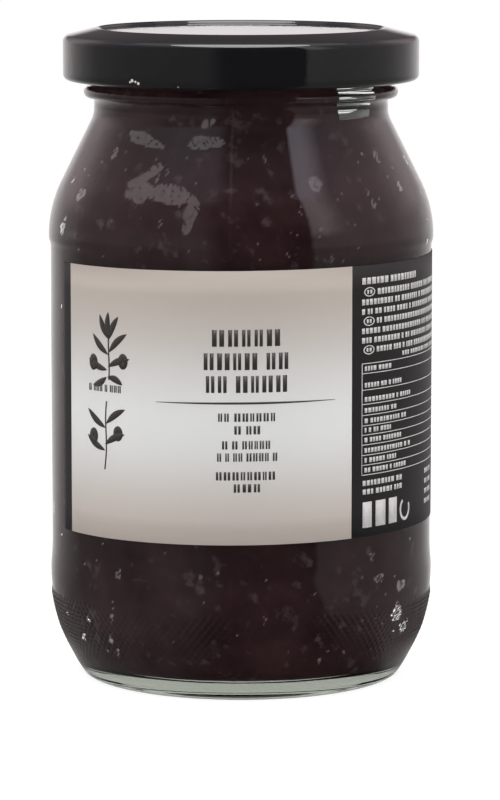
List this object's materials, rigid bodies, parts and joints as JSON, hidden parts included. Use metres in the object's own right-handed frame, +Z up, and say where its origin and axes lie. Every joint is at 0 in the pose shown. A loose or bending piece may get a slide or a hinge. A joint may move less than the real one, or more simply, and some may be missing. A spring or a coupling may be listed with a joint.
{
  "type": "jar of black olive paste",
  "caption": "Filled glass jar of dark olive paste with a black twist-off steel lid and a wrapped silver and black label.",
  "frame": {"origin": "middle of the ring that the jar stands on, at the lowest point of the glass", "axes": "+Z up along the jar's axis, -Y towards the front of the label, +X to the right seen from the front"},
  "size_m": [0.0716, 0.0716, 0.1211],
  "materials": {
    "glass": "clear, very slightly green soda-lime container glass",
    "lid_lacquer": "glossy black lacquer on tinplate",
    "paste": "moist, fine-ground, almost black paste",
    "label_film": "satin silver film with a black panel"
  },
  "bodies": {
    "root": {"jar_glass": "glass", "lid": "lid_lacquer", "olive_paste": "paste", "label": "label_film"}
  },
  "joints": []
}
